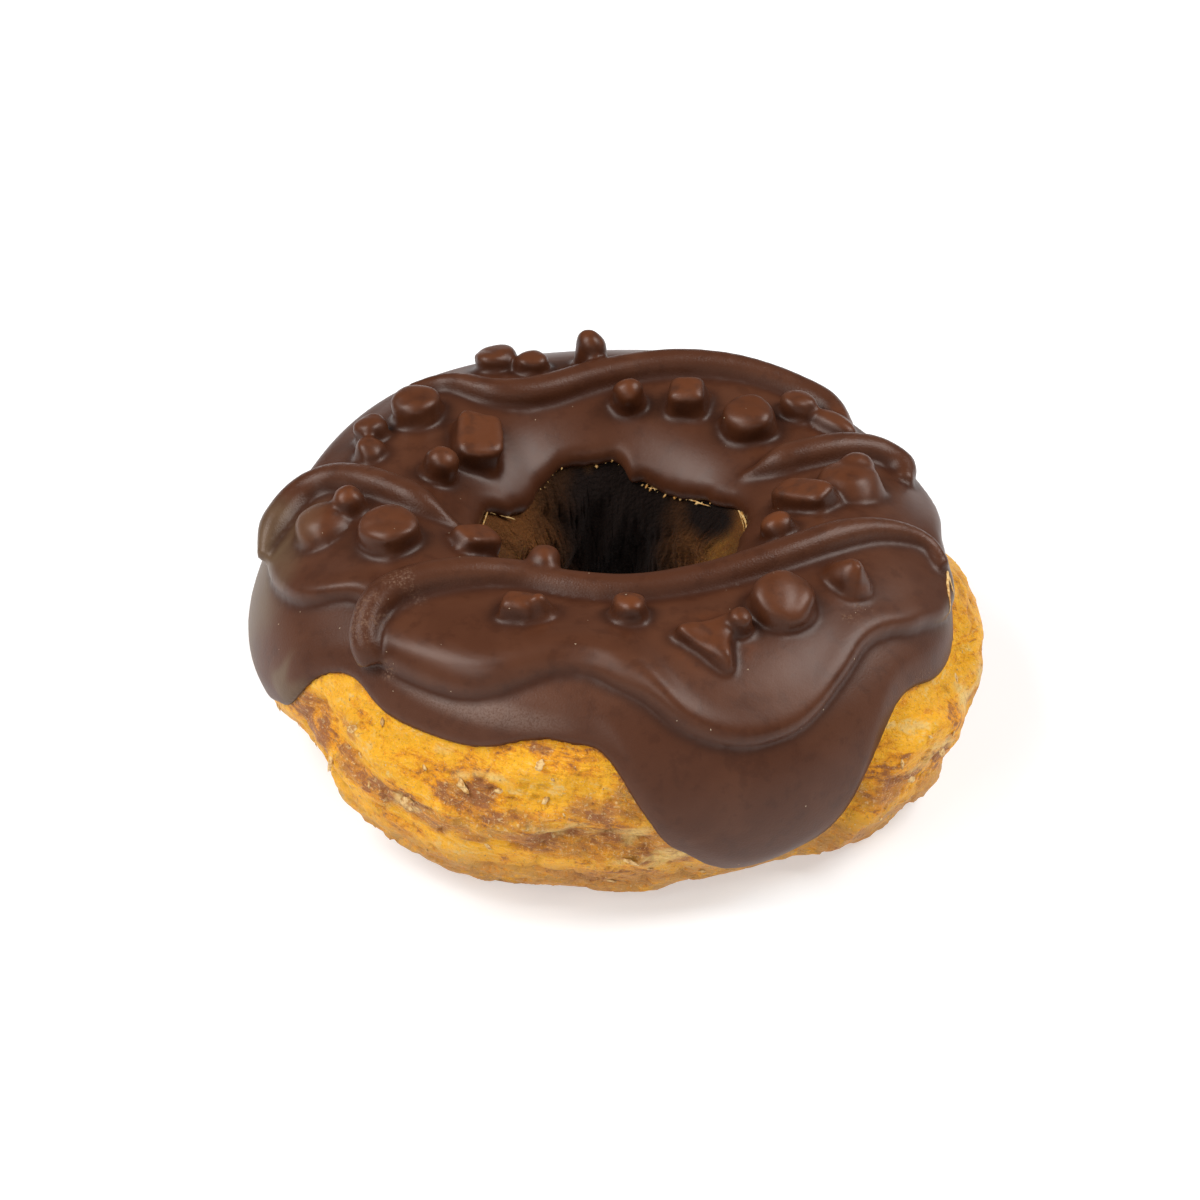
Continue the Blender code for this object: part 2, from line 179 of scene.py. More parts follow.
def layering(place):
    """Ledges and creases where one layer of dough ends over the next, and the height of its grain."""
    wander = noise.noise_vector(place / (6.0 * MM)) * 1.2 * MM
    bed = place + wander
    level = 3.2 * noise.noise(Vector((bed.x / (8.0 * MM), bed.y / (8.0 * MM), bed.z / (3.0 * MM))))
    ledge = math.floor(level) + ease((level - math.floor(level)) * 3.5) - 0.5 * level
    vein = abs(noise.noise(Vector((bed.x / (5.5 * MM), bed.y / (5.5 * MM), bed.z / (2.2 * MM) + 9.0))))
    crease = ease(1.0 - vein / 0.09)
    grain = noise.fractal(place / (1.9 * MM), 0.8, 2.1, 3)
    return LEDGE_HEIGHT * ledge - CREASE_DEPTH * crease + GRAIN_HEIGHT * grain


def rolled_ring(columns, rows, place):
    """A grid rolled into a closed ring, its vertices at place(column, row), with both seams merged."""
    ring = bmesh.new()
    bmesh.ops.create_grid(ring, x_segments=columns, y_segments=rows, size=0.5)
    for vertex in ring.verts:
        column = round((vertex.co.x + 0.5) * columns) % columns
        row = round((vertex.co.y + 0.5) * rows) % rows
        vertex.co = place(column, row)
    bmesh.ops.remove_doubles(ring, verts=ring.verts, dist=0.0001 * MM)
    bmesh.ops.recalc_face_normals(ring, faces=ring.faces)
    return ring


def dough_slope(row):
    """Slope of a row of the dough, with more rows on the bare outer side than under the frosting."""
    share = row / DOUGH_ROWS
    drawn = math.sin(math.tau * (share - CROWDED_AT + 0.5)) - math.sin(math.tau * (0.5 - CROWDED_AT))
    return -90.0 + 360.0 * share + ROW_CROWDING * drawn


def dough_point(column, row):
    """A vertex of the dough's craggy surface, no lower than the table."""
    bearing = 360.0 * column / DOUGH_COLUMNS
    slope = dough_slope(row)
    rough = relief(bearing, slope) + layering(grain_place(bearing, slope))
    point = skin(bearing, slope, bareness(bearing, slope) * rough)
    point.z = max(point.z, 0.0)
    return point


def surface_angles(point):
    """Bearing and slope of a point near the dough's surface."""
    bearing = math.degrees(math.atan2(point.y, point.x)) % 360.0
    height = point.z - WIDEST_LEVEL
    rise = CROWN_RISE if height > 0.0 else BELLY_DROP
    slope = math.degrees(math.atan2(height / rise, (math.hypot(point.x, point.y) - RING_RADIUS) / HALF_WIDTH))
    return bearing, (slope + 120.0) % 360.0 - 120.0


def finished(name, shape, finish):
    """A smooth-shaded piece of the doughnut made from a bmesh, in its finish and on the part's body."""
    mesh = bpy.data.meshes.new(name)
    shape.to_mesh(mesh)
    shape.free()
    mesh.shade_smooth()
    mesh.materials.append(finish)
    piece = bpy.data.objects.new(name, mesh)
    bpy.context.scene.collection.objects.link(piece)
    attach(piece, "root")
    return piece


class Strand:
    """A socket of a material's nodes. Arithmetic on it adds the Math nodes that work it out."""

    def __init__(self, socket):
        self.socket = socket

    def node(self, kind, settings, inputs, output=0):
        """Add a node to the same material, set it up, fill its sockets and return one of its outputs."""
        tree = self.socket.id_data
        made = tree.nodes.new(kind)
        for setting, value in settings.items():
            setattr(made, setting, value)
        for key, value in inputs.items():
            if isinstance(value, Strand):
                tree.links.new(value.socket, made.inputs[key])
            else:
                made.inputs[key].default_value = value
        return Strand(made.outputs[output])

    def maths(self, operation, *values):
        return self.node("ShaderNodeMath", {"operation": operation}, dict(enumerate(values)))

    def __add__(self, other):
        return self.maths("ADD", self, other)

    def __sub__(self, other):
        return self.maths("SUBTRACT", self, other)

    def __rsub__(self, other):
        return self.maths("SUBTRACT", other, self)

    def __mul__(self, other):
        return self.maths("MULTIPLY", self, other)

    __radd__ = __add__
    __rmul__ = __mul__

    def band(self, low, high):
        """0 below low, 1 above high and smooth between, or the other way round where high is the lower."""
        return self.node("ShaderNodeMapRange", {"interpolation_type": "SMOOTHSTEP"},
                         {"Value": self, "From Min": low, "From Max": high})

    def mix(self, low, high):
        """The colour low where this is 0, and high where it is 1."""
        return self.node("ShaderNodeMix", {"data_type": "RGBA"}, {0: self, 6: low, 7: high}, 2)

    def stretch(self, x, y, z):
        """This place with its three lengths multiplied."""
        return self.node("ShaderNodeVectorMath", {"operation": "MULTIPLY"}, {0: self, 1: (x, y, z)})

    def cloud(self, size, detail=2.0, roughness=0.5, distortion=0.0):
        """Soft noise from 0 to 1 at this place, with blots of about the given size in metres."""
        return self.node("ShaderNodeTexNoise", {}, {"Vector": self, "Scale": 1.0 / size, "Detail": detail,
                                                    "Roughness": roughness, "Distortion": distortion})

    def cells(self, size):
        """Distance to the nearest of many scattered points, about the given size apart, as a share of it."""
        return self.node("ShaderNodeTexVoronoi", {}, {"Vector": self, "Scale": 1.0 / size}, "Distance")


def new_finish(name, constants):
    """A material, its shader, and the place on the piece that its patterns start from."""
    finish = bpy.data.materials.new(name)
    finish.use_nodes = True
    nodes = finish.node_tree.nodes
    shader = nodes["Principled BSDF"]
    for socket, value in constants.items():
        shader.inputs[socket].default_value = value
    return finish, shader, Strand(nodes.new("ShaderNodeTexCoord").outputs["Object"])


def wear(shader, inputs):
    """Link what varies over a surface to its shader."""
    for socket, strand in inputs.items():
        shader.id_data.links.new(strand.socket, shader.inputs[socket])


def kept(place, name, output="Fac"):
    """A value or place stored on the piece's own points."""
    return place.node("ShaderNodeAttribute", {"attribute_name": name}, {}, output)


def bumps(place, height, strength, depth):
    """A Bump node's normal for a height that stands for a depth in metres where it is 1."""
    inputs = {"Strength": strength, "Distance": depth, "Height": height}
    return place.node("ShaderNodeBump", {}, inputs, "Normal")


STRAW = (0.88, 0.60, 0.21, 1.0)
GOLDEN = (0.98, 0.47, 0.022, 1.0)
AMBER = (0.84, 0.325, 0.012, 1.0)
RUSSET = (0.37, 0.130, 0.035, 1.0)
MAUVE = (0.34, 0.140, 0.060, 1.0)
TAN = (0.50, 0.26, 0.105, 1.0)
PALE_CRUMB = (0.84, 0.64, 0.34, 1.0)
HOLE_WALL_SHADE = (0.17, 0.058, 0.010, 1.0)
BLACK_HOLE_SHADE = (0.008, 0.0030, 0.0014, 1.0)


def golden_dough():
    """Golden, amber and russet patches along the layers, straw streaks, a pale fine grain, and painted shade.
    """
    finish, shader, place = new_finish("golden_dough", {
        "Subsurface Weight": 0.15, "Subsurface Scale": 0.0012, "Subsurface Radius": (1.0, 0.45, 0.15),
        "IOR": 1.42, "Specular IOR Level": 0.28})
    layers = kept(place, "layers", "Vector")
    hollow = kept(place, "hollow")
    low = kept(place, "low")
    russet = kept(place, "russet")
    golden = kept(place, "golden")
    straw = kept(place, "straw")
    patches = layers.stretch(1.0, 1.0, 1.5).cloud(7.0 * MM, 4.0, 0.6, 0.8)
    streaks = layers.stretch(1.0, 1.0, 2.2).cloud(3.2 * MM, 5.0, 0.66, 1.6)
    fibres = layers.stretch(1.0, 1.0, 2.6).cloud(1.4 * MM, 5.0, 0.7, 1.2)
    mottle = place.cloud(1.1 * MM, 5.0, 0.70, 0.6)
    flecks = place.cloud(0.42 * MM, 3.0, 0.65)
    specks = place.cloud(0.22 * MM, 1.0, 0.5)
    grains = layers.stretch(1.0, 1.0, 1.6).cells(1.0 * MM)
    # Painted shade: the tone is lowered in the dough's hollows.
    tone = patches + (streaks - 0.5) * 0.9 + (mottle - 0.5) * 0.8 - (hollow - 0.5) * 0.20
    tone = tone + golden * 0.16 - russet * 0.17
    colour = tone.band(0.24, 0.42).mix(RUSSET, AMBER)
    colour = tone.band(0.40, 0.58).mix(colour, GOLDEN)
    colour = (tone.band(0.66, 0.90) * 0.8).mix(colour, STRAW)
    colour = (russet * mottle.band(0.30, 0.60) * 0.70).mix(colour, MAUVE)
    colour = (straw * streaks.band(0.30, 0.52) * 0.85).mix(colour, STRAW)
    colour = (fibres.band(0.56, 0.70) * (0.48 - 0.40 * golden)).mix(colour, STRAW)
    colour = (fibres.band(0.46, 0.32) * 0.50).mix(colour, AMBER)
    colour = (mottle.band(0.40, 0.26) * 0.50).mix(colour, RUSSET)
    colour = (flecks.band(0.55, 0.70) * (0.14 + 0.50 * russet)).mix(colour, PALE_CRUMB)
    colour = (flecks.band(0.46, 0.30) * (0.50 - 0.25 * golden)).mix(colour, RUSSET)
    # Painted shade: the deepest hollows and creases are mixed towards russet.
    colour = (hollow.band(0.60, 0.95) * 0.45).mix(colour, RUSSET)
    colour = (low.band(0.18, 0.75) * mottle.band(0.28, 0.56) * 0.75).mix(colour, TAN)
    colour = (specks.band(0.68, 0.76) * 0.6).mix(colour, PALE_CRUMB)
    # Painted shade down the wall of the hole, a little less where the hole is lit.
    colour = kept(place, "painted_hole_shade").mix(colour, HOLE_WALL_SHADE)
    # Painted shade: near black in the deepest parts of the hole.
    colour = kept(place, "painted_black_shade").mix(colour, BLACK_HOLE_SHADE)
    height = 0.45 * flecks + 0.20 * specks + 0.5 * fibres + 0.8 * mottle - 0.35 * grains
    wear(shader, {
        "Base Color": colour,
        "Roughness": 0.24 + 0.42 * flecks + 0.20 * kept(place, "painted_hole_shade") + 0.35 * kept(place, "painted_black_shade"),
        "Normal": bumps(place, height, 1.0, 0.70 * MM)})
    return finish


dough_shape = rolled_ring(DOUGH_COLUMNS, DOUGH_ROWS, dough_point)
layers_kept = dough_shape.verts.layers.float_vector.new("layers")
hollow_kept = dough_shape.verts.layers.float.new("hollow")
low_kept = dough_shape.verts.layers.float.new("low")
russet_kept = dough_shape.verts.layers.float.new("russet")
golden_kept = dough_shape.verts.layers.float.new("golden")
straw_kept = dough_shape.verts.layers.float.new("straw")
hole_shade_kept = dough_shape.verts.layers.float.new("painted_hole_shade")
black_shade_kept = dough_shape.verts.layers.float.new("painted_black_shade")
for vertex in dough_shape.verts:
    bearing, slope = surface_angles(vertex.co)
    place = grain_place(bearing, slope)
    vertex[layers_kept] = place
    # hollow: how deep a point lies in the dough's layering, used only to paint shade into the hollows.
    vertex[hollow_kept] = 0.5 - layering(place) / (2.0 * (LEDGE_HEIGHT + CREASE_DEPTH))
    stray = noise.noise_vector(vertex.co / STRAY_LENGTH) * PATCH_STRAY
    vertex[low_kept] = ease((WIDEST_LEVEL - vertex.co.z) / (14.0 * MM)) if slope < 100.0 else 0.0
    vertex[russet_kept] = patched(bearing + stray.x, slope + stray.y, RUSSET_PATCHES)
    vertex[golden_kept] = patched(bearing + stray.y, slope + stray.x, GOLDEN_PATCHES)
    vertex[straw_kept] = patched(bearing + stray.z, slope + stray.x, STRAW_PATCHES)
    lit_hole = patched(bearing + stray.y, slope + stray.x, LIT_HOLE_PATCHES)
    # The wall of the hole gets painted shade, a little less in the lit patch.
    vertex[hole_shade_kept] = ease((slope + stray.x - HOLE_SHADE_FROM) / 8.0) * (1.0 - 0.12 * lit_hole)
    # Near-black painted shade in the deepest parts of the hole.
    vertex[black_shade_kept] = vertex[hole_shade_kept] * patched(bearing + stray.x, slope + stray.y, BLACK_SHADE_PATCHES)
dough = finished("dough_crumb", dough_shape, golden_dough())
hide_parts("dough_ring")


# The frosting's two layers
# Chocolate cast over the dough in a mould: a thin layer that ends in long drips, and a thicker layer over the
# crown with a wavy rounded step above them. Both are one mass, tight on the dough.
THIN_LAYER = 1.5 * MM
THICK_LAYER = 2.8 * MM
HOLE_LIP = 2.1 * MM
SUNK = -0.25 * MM              # the coat's inner side, just inside the dough
LIP_ROUND = 3.5                # slope angle taken by the rounded edge of a drip
HOLE_ROUND = 11.0              # slope angle over which the coat rolls in at the hole
STEP_ROUND = 5.5               # slope angle taken by the step between the layers
RIM_HEIGHT = 0.30 * MM         # the rounded rim along the top of that step
ROLLS = ((243.0, 20.0, 1.0), (273.0, 9.0, 0.7))  # where the rim is a fat roll, and how much of it
ROLL_ROUND = 6.5
ROLL_HEIGHT = 0.9 * MM
FOOT_GROOVE = 0.30 * MM        # the thin groove along the step's foot
STEP_LEVEL = 48.0
STEP_SWINGS = (
    (294.5, 14.5, -16.0), (341.0, 10.0, -15.0), (262.5, 12.0, 19.0), (214.0, 7.0, 15.0), (188.0, 16.0, -12.0),
    (15.0, 18.0, -12.0), (55.0, 16.0, -4.0), (95.0, 16.0, -10.0), (140.0, 16.0, -2.0),
    (275.5, 4.0, 3.5), (319.0, 5.0, 2.5), (222.0, 2.5, -4.0), (329.0, 3.0, -2.0),
)
HOLE_TEARS = ((157.0, 5.0, 5.0), (125.0, 8.0, 5.0), (80.5, 3.4, 4.5), (90.0, 4.5, -3.0), (30.0, 8.0, 3.0),
              (349.0, 8.0, 4.0))
TEAR_SIZE = 1.2                # how far, in slope degrees, the hole's edge strays besides its tears
TEAR_FINENESS = 16.0
HOLE_THINNING = 34.0           # slope angle over which the thick layer thins towards the hole
DRIP_THINNING = 16.0           # slope angle over which the thin layer thins towards its drips' edges
GROOVE_ANGLE = 1.4
COAT_COLUMNS = 560
LIP_ROWS = 9
THIN_ROWS = 26
STEP_ROWS = 12
THICK_ROWS = 60
INNER_ROWS = 40


def layer_lift(bearing, slope):
    """Height of the frosting's outside above the dough."""
    step = swings(bearing, STEP_LEVEL, STEP_SWINGS)
    hole = swings(bearing, HOLE_LEVEL, HOLE_SWINGS)
    roll = swings(bearing, 0.0, ROLLS)
    width = STEP_ROUND + ROLL_ROUND * roll
    share = min(max((slope - step) / width, 0.0), 1.0)
    rise = math.sqrt(1.0 - (1.0 - share) ** 2)
    thinning = ease((slope - hole + HOLE_THINNING) / HOLE_THINNING)
    crest = (RIM_HEIGHT + ROLL_HEIGHT * roll) * math.exp(-((slope - step - 1.1 * width) / width) ** 2)
    thick = THICK_LAYER + crest + (HOLE_LIP - THICK_LAYER) * thinning
    groove = FOOT_GROOVE * math.exp(-((slope - step) / GROOVE_ANGLE) ** 2)
    thin = THIN_LAYER * (0.5 + 0.5 * ease((slope - swings(bearing, DRIP_LEVEL, DRIPS)) / DRIP_THINNING))
    return thin + (thick - thin) * rise - groove


def even(low, high, rows):
    """Slopes at even steps from low up to, and without, high."""
    return [low + (high - low) * n / rows for n in range(rows)]


def coat_profile(bearing):
    """Slopes and lifts round the frosting's section, up the outside and back inside the dough."""
    drip = swings(bearing, DRIP_LEVEL, DRIPS)
    step = swings(bearing, STEP_LEVEL, STEP_SWINGS)
    turn = math.radians(bearing)
    place = Vector((math.cos(turn), math.sin(turn), 0.0)) * TEAR_FINENESS
    torn = TEAR_SIZE * noise.fractal(place, 0.8, 2.2, 3)
    hole = swings(bearing, HOLE_LEVEL, HOLE_SWINGS + HOLE_TEARS) + torn
    low, high = drip + LIP_ROUND, hole - HOLE_ROUND
    turns = [0.5 * math.pi * n / LIP_ROWS for n in range(LIP_ROWS)]
    edge = layer_lift(bearing, low)
    profile = [(low - LIP_ROUND * math.cos(turn), SUNK + (edge - SUNK) * math.sin(turn)) for turn in turns]
    crest = step + STEP_ROUND + ROLL_ROUND * swings(bearing, 0.0, ROLLS)
    slopes = even(low, step, THIN_ROWS) + even(step, crest, STEP_ROWS) + even(crest, high, THICK_ROWS)
    profile += [(slope, layer_lift(bearing, slope)) for slope in slopes]
    rim = layer_lift(bearing, high)
    profile += [(high + HOLE_ROUND * math.cos(turn), SUNK + (rim - SUNK) * math.sin(turn))
                for turn in reversed(turns)]
    profile += [(slope, SUNK) for slope in reversed(even(drip, hole, INNER_ROWS)[1:])]
    return profile


profiles = [coat_profile(360.0 * column / COAT_COLUMNS) for column in range(COAT_COLUMNS)]


def coat_point(column, row):
    """A vertex of the coat's closed section."""
    slope, lift = profiles[column][row]
    return skin(360.0 * column / COAT_COLUMNS, slope, lift)


coat_shape = rolled_ring(COAT_COLUMNS, len(profiles[0]), coat_point)


# The drizzled ridges
# Four ropes of chocolate poured across the coat before it was moulded, each thin at its ends and half sunk.
RIDGE_RADIUS = 2.1 * MM
RIDGE_RAISE = 0.55 * MM
RIDGE_SPACING = 1.0 * MM
CURVE_STEPS = 24
CAST_FINENESS = 0.40 * MM      # the grid on which the casting's parts are run together
CAST_PASSES = 3
DRIZZLES = {
    "back": ((138.0, 67.0), (131.0, 75.0), (125.0, 95.0), (112.0, 100.5), (94.0, 94.5), (74.0, 82.0),
             (57.0, 68.0), (44.0, 59.0), (35.0, 62.5), (29.0, 69.0)),
    "left": ((200.0, 117.0), (189.0, 101.5), (182.0, 91.5), (177.0, 80.0), (174.0, 68.0), (175.5, 56.0),
             (182.0, 46.0), (189.0, 39.0)),
    "right": ((28.0, 124.0), (24.5, 113.0), (23.5, 95.0), (23.0, 76.0), (22.0, 61.0), (18.0, 53.0),
              (12.0, 57.0)),
    "front": ((346.0, 46.0), (349.5, 54.0), (348.5, 65.0), (343.5, 79.0), (334.0, 91.0), (317.0, 102.5),
              (298.0, 109.5), (278.0, 112.0), (258.0, 113.5), (240.0, 111.5), (229.0, 100.0), (221.5, 84.0),
              (219.0, 70.0), (221.0, 58.0), (225.0, 48.0)),
}
TAPER = {"back": (0.6, 0.5), "left": (0.2, 0.5), "right": (0.2, 0.5), "front": (0.5, 0.9)}


def route(points, spacing):
    """Smooth points at even steps through a few bearings and slopes."""
    places = [Vector((bearing, slope, 0.0)) for bearing, slope in points]
    ends = [places[0] * 2.0 - places[1]] + places + [places[-1] * 2.0 - places[-2]]
    dense = []
    for a, b, c, d in zip(ends, ends[1:], ends[2:], ends[3:]):
        for n in range(CURVE_STEPS):
            t = n / CURVE_STEPS
            dense.append(0.5 * (2.0 * b + (c - a) * t + (2.0 * a - 5.0 * b + 4.0 * c - d) * t * t
                                + (3.0 * b - a - 3.0 * c + d) * t ** 3))
    dense.append(places[-1])
    spots = [dense[0]]
    for spot in dense[1:]:
        if (skin(spot.x, spot.y, 0.0) - skin(spots[-1].x, spots[-1].y, 0.0)).length >= spacing:
            spots.append(spot)
    return spots


def drizzle(name, points):
    """A poured ridge as a round tube, and the places along its middle."""
    spots = route(points, RIDGE_SPACING)
    start, end = TAPER[name]
    rope = bpy.data.curves.new(name, "CURVE")
    rope.dimensions = "3D"
    rope.bevel_depth = RIDGE_RADIUS
    rope.bevel_resolution = 5
    rope.use_fill_caps = True
    line = rope.splines.new("POLY")
    line.points.add(len(spots) - 1)
    for index, (point, spot) in enumerate(zip(line.points, spots)):
        share = index / (len(spots) - 1)
        size = (start + (1.0 - start) * ease(share * 4.0)) * (end + (1.0 - end) * ease((1.0 - share) * 6.0))
        size *= 1.0 + 0.05 * noise.noise((index * 0.21, len(points), 0.0))
        lift = layer_lift(spot.x, spot.y) + RIDGE_RAISE * size
        point.co = (*skin(spot.x, spot.y, lift), 1.0)
        point.radius = size
    holder = bpy.data.objects.new(name, rope)
    bpy.context.scene.collection.objects.link(holder)
    mesh = bpy.data.meshes.new_from_object(holder.evaluated_get(bpy.context.evaluated_depsgraph_get()))
    middles = [(point.co.to_3d(), RIDGE_RADIUS * point.radius, 1.0) for point in line.points]
    bpy.data.objects.remove(holder)
    return mesh, middles


def cast(shapes):
    """Shapes run together into one skin, with the joins softened."""
    joined = bmesh.new()
    for shape in shapes:
        joined.from_mesh(shape)
    bmesh.ops.remove_doubles(joined, verts=joined.verts, dist=0.00001)
    mesh = bpy.data.meshes.new("casting")
    joined.to_mesh(mesh)
    joined.free()
    block = bpy.data.objects.new("casting", mesh)
    bpy.context.scene.collection.objects.link(block)
    skinned = block.modifiers.new("skin", "REMESH")
    skinned.mode = "VOXEL"
    skinned.voxel_size = CAST_FINENESS
    softened = block.modifiers.new("soften", "SMOOTH")
    softened.factor = 0.5
    softened.iterations = CAST_PASSES
    made = bpy.data.meshes.new_from_object(block.evaluated_get(bpy.context.evaluated_depsgraph_get()))
    bpy.data.objects.remove(block)
    return made


coat_mesh = bpy.data.meshes.new("coat")
coat_shape.to_mesh(coat_mesh)
coat_shape.free()
ridge_middles = []
poured = [coat_mesh]
for name, points in DRIZZLES.items():
    tube, middles = drizzle(name, points)
    poured.append(tube)
    ridge_middles += middles
poured_mesh = cast(poured)


# The lumps
# Pieces like chopped nuts and small balls, moulded in the same chocolate as the coat and in one mass with it:
# ball-topped pegs, grooved domes, low mounds, and broken chunks, shards and a wedge with softened corners.
LUMPS = (  # kind, bearing, slope, length and width in millimetres, height above the coat, turn, lean
    ("dome", 116.5, 71.0, 5.8, 5.0, 2.6, 20.0, 0.0), ("dome", 110.0, 82.0, 4.4, 4.0, 2.3, 0.0, 0.0),
    ("peg", 95.5, 83.0, 4.1, 4.1, 4.8, 0.0, 0.0), ("dome", 145.0, 83.0, 6.4, 6.2, 3.5, 0.0, -0.1),
    ("dome", 156.5, 74.0, 4.6, 4.0, 2.9, 0.0, 0.0), ("mound", 164.0, 79.0, 4.6, 4.0, 2.2, 0.0, -0.2),
    ("peg", 167.5, 108.0, 4.2, 4.2, 4.0, 0.0, 0.0), ("chunk", 146.0, 112.5, 8.8, 6.8, 3.2, 38.0, 0.1),
    ("peg", 84.8, 110.0, 3.9, 3.9, 4.2, 0.0, 0.0), ("chunk", 66.0, 105.0, 5.4, 5.6, 3.4, 14.0, 0.1),
    ("dome", 44.8, 103.0, 6.8, 6.6, 3.6, 0.0, 0.0), ("dome", 41.5, 78.5, 4.8, 4.2, 2.8, 20.0, 0.0),
    ("mound", 33.5, 71.5, 7.6, 3.8, 2.2, 20.0, 0.0), ("chunk", 357.5, 104.5, 5.0, 8.6, 2.6, -34.0, -0.2),
    ("mound", 4.5, 86.5, 7.8, 8.6, 2.8, 0.0, 0.0), ("mound", 10.0, 82.5, 4.8, 5.6, 3.4, 20.0, 0.0),
    ("peg", 338.5, 110.5, 4.3, 4.1, 2.6, 0.0, 0.0), ("shard", 326.0, 73.5, 8.0, 7.2, 3.4, 50.0, 0.0),
    ("dome", 308.5, 79.5, 7.6, 7.2, 3.2, 0.0, 0.2), ("wedge", 290.5, 75.5, 9.6, 9.6, 2.2, 61.0, 0.15),
    ("dome", 296.6, 77.5, 3.0, 3.0, 3.0, 0.0, 0.0), ("peg", 273.8, 94.5, 4.1, 4.1, 2.7, 0.0, 0.0),
    ("chunk", 246.5, 88.5, 4.4, 4.0, 2.4, 10.0, 0.0), ("shard", 251.5, 90.5, 5.4, 4.8, 3.0, 40.0, 0.0),
    ("peg", 243.0, 117.0, 4.2, 4.2, 4.6, 0.0, 0.0), ("chunk", 210.0, 116.0, 4.6, 6.8, 2.4, 8.0, 0.0),
    ("dome", 203.0, 86.5, 7.4, 7.0, 3.2, 0.0, 0.1), ("peg", 188.5, 77.0, 3.9, 3.7, 3.4, 0.0, 0.0),
    ("mound", 191.0, 65.0, 7.2, 7.0, 2.3, 0.0, 0.0),
)
LUMP_SUNK = 0.35
BELTS = {"peg": 0.50, "dome": 0.45, "mound": 0.0}
FLATNESS = {"peg": 2.1, "dome": 3.0, "mound": 2.3}
SPREAD = {"peg": 0.28, "dome": 0.14, "mound": 0.15}
CHIPPED = 0.070                # how far a lump's outline strays, as a share of its width
GROOVE = 0.06                  # the groove over a dome, its half width and how far it is off the middle
GROOVE_WIDTH = 0.07
GROOVE_ASIDE = 0.16
CORNER_ROUND = 0.20            # the broken lumps' corners, as a share of their width
# How far each kind is mixed towards warm chocolate: partly its own colour, partly painted glow, most on the
# pegs.
WARMTH_AND_GLOW = {"peg": 1.0, "dome": 0.35, "mound": 0.4, "chunk": 0.6, "shard": 0.6, "wedge": 0.5}


def round_lump(kind, index):
    """A ball-topped peg or a flat-topped dome that spreads to its foot, with a groove over a dome."""
    shape = bmesh.new()
    bmesh.ops.create_uvsphere(shape, u_segments=32, v_segments=24, radius=0.5)
    belt, power = BELTS[kind], FLATNESS[kind]
    along = Vector((math.cos(index * 2.4), math.sin(index * 2.4)))
    for vertex in shape.verts:
        reach = min(2.0 * math.hypot(vertex.co.x, vertex.co.y), 1.0)
        if vertex.co.z > 0.0:
            vertex.co.z = belt + (1.0 - belt) * (1.0 - reach ** power) ** (1.0 / power)
            if kind == "dome":
                apart = vertex.co.xy.dot(along) - GROOVE_ASIDE
                vertex.co.z -= GROOVE * math.exp(-(apart / GROOVE_WIDTH) ** 2)
        else:
            depth = -2.0 * vertex.co.z
            vertex.co.z = belt - (belt + LUMP_SUNK) * depth
            widen = (1.0 + SPREAD[kind] * depth) * max(1.0, 0.97 / max(reach, 0.35)) if depth < 0.97 else 1.0
            vertex.co.x *= widen
            vertex.co.y *= widen
    return shape


def broken_lump(kind):
    """A chunk, shard or wedge with softened corners."""
    shape = bmesh.new()
    if kind == "shard":
        bmesh.ops.create_cone(shape, cap_ends=True, segments=5, radius1=0.58, radius2=0.16, depth=1.0)
    elif kind == "wedge":
        bmesh.ops.create_cone(shape, cap_ends=True, segments=3, radius1=0.60, radius2=0.50, depth=1.0)
    else:
        bmesh.ops.create_cube(shape, size=1.0)
        top = [vertex for vertex in shape.verts if vertex.co.z > 0.0]
        bmesh.ops.scale(shape, vec=(0.80, 0.80, 1.0), verts=top)
    bmesh.ops.bevel(shape, geom=shape.edges[:], offset=CORNER_ROUND, affect="EDGES", segments=4, profile=0.5,
                    material=-1)
    bmesh.ops.subdivide_edges(shape, edges=shape.edges[:], cuts=2, use_grid_fill=True)
    for vertex in shape.verts:
        if kind == "wedge":
            reach = vertex.co.xy.length
            corner = 0.5 + 0.5 * math.cos(3.0 * math.atan2(vertex.co.x, vertex.co.y))
            vertex.co.xy *= 0.88 + 0.12 * corner
            vertex.co.z = (vertex.co.z + 0.5) * (0.82 + 0.8 * reach * reach * corner) - 0.5
        vertex.co.z = (vertex.co.z + 0.5) * (1.0 + LUMP_SUNK) - LUMP_SUNK
    return shape


def outward(bearing, slope):
    """The direction square to the dough's section."""
    return (skin(bearing, slope, 10.0 * MM) - skin(bearing, slope, 0.0)).normalized()


def lump(index, kind, bearing, slope, length, width, height, turn, lean):
    """One moulded lump, its foot sunk in the coat, and the middle, size and warmth of its colour."""
    shape = round_lump(kind, index) if kind in BELTS else broken_lump(kind)
    for vertex in shape.verts:
        vertex.co += noise.noise_vector(vertex.co * 1.7 + Vector((index * 3.7, 0.0, 0.0))) * CHIPPED
        vertex.co.z *= 1.0 + lean * vertex.co.y * 2.0
    base = skin(bearing, slope, layer_lift(bearing, slope))
    up = outward(bearing, slope)
    side = Vector((-math.sin(math.radians(bearing)), math.cos(math.radians(bearing)), 0.0))
    square = Matrix((side, up.cross(side), up)).transposed().to_4x4()
    place = Matrix.Translation(base) @ square @ Matrix.Rotation(math.radians(turn), 4, "Z")
    bmesh.ops.scale(shape, vec=(length * MM, width * MM, height * MM), verts=shape.verts)
    bmesh.ops.transform(shape, matrix=place, verts=shape.verts)
    mesh = bpy.data.meshes.new(f"lump_{index}")
    shape.to_mesh(mesh)
    shape.free()
    # The warmth is partly the lump's own colour and partly painted glow.
    return mesh, (base + up * (0.5 * height * MM), 0.5 * max(length, width, height) * MM, WARMTH_AND_GLOW[kind])


lump_middles = []
moulded = [poured_mesh]
for index, entry in enumerate(LUMPS):
    solid, middle = lump(index, *entry)
    moulded.append(solid)
    lump_middles.append(middle)
coat_cast = cast(moulded)
